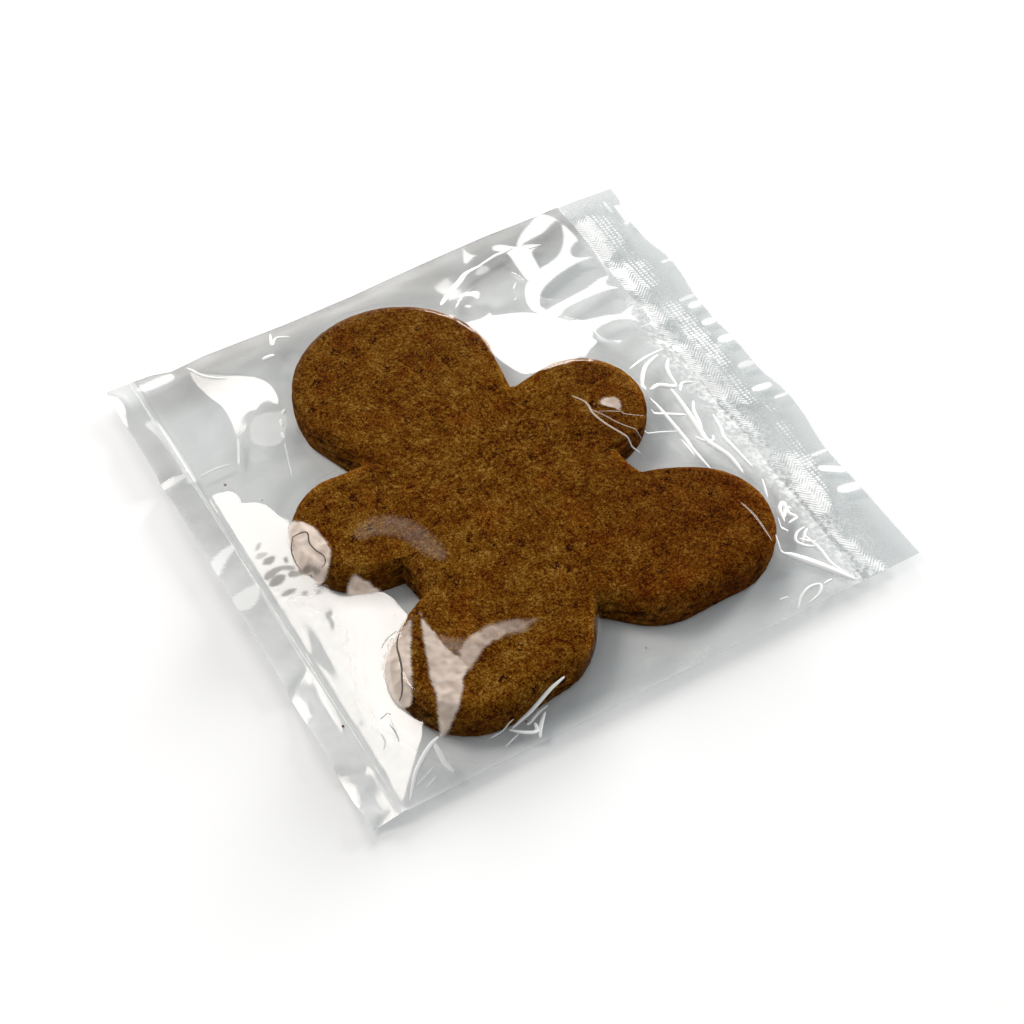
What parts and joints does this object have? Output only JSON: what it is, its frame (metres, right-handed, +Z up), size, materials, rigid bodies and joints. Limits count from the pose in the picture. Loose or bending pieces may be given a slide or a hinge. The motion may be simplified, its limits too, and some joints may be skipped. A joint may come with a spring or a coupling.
{
  "type": "gingerbread man cookie",
  "caption": "Thick plain gingerbread man cookie lying flat in a clear film bag, welded at one end and crimp-sealed at the other.",
  "frame": {"origin": "on the table under the middle of the bag", "axes": "+X from the welded end to the crimped end, +Y to the side fold beside the gingerbread man's head, +Z up"},
  "size_m": [0.143, 0.139, 0.0089],
  "materials": {
    "clear_film": "clear glossy packing film, faintly grey, crinkled",
    "baked_gingerbread": "matt dark brown baked crumb with fine darker specks and small cracks"
  },
  "bodies": {
    "root": {"sealed_bag": "clear_film"}
  },
  "joints": []
}
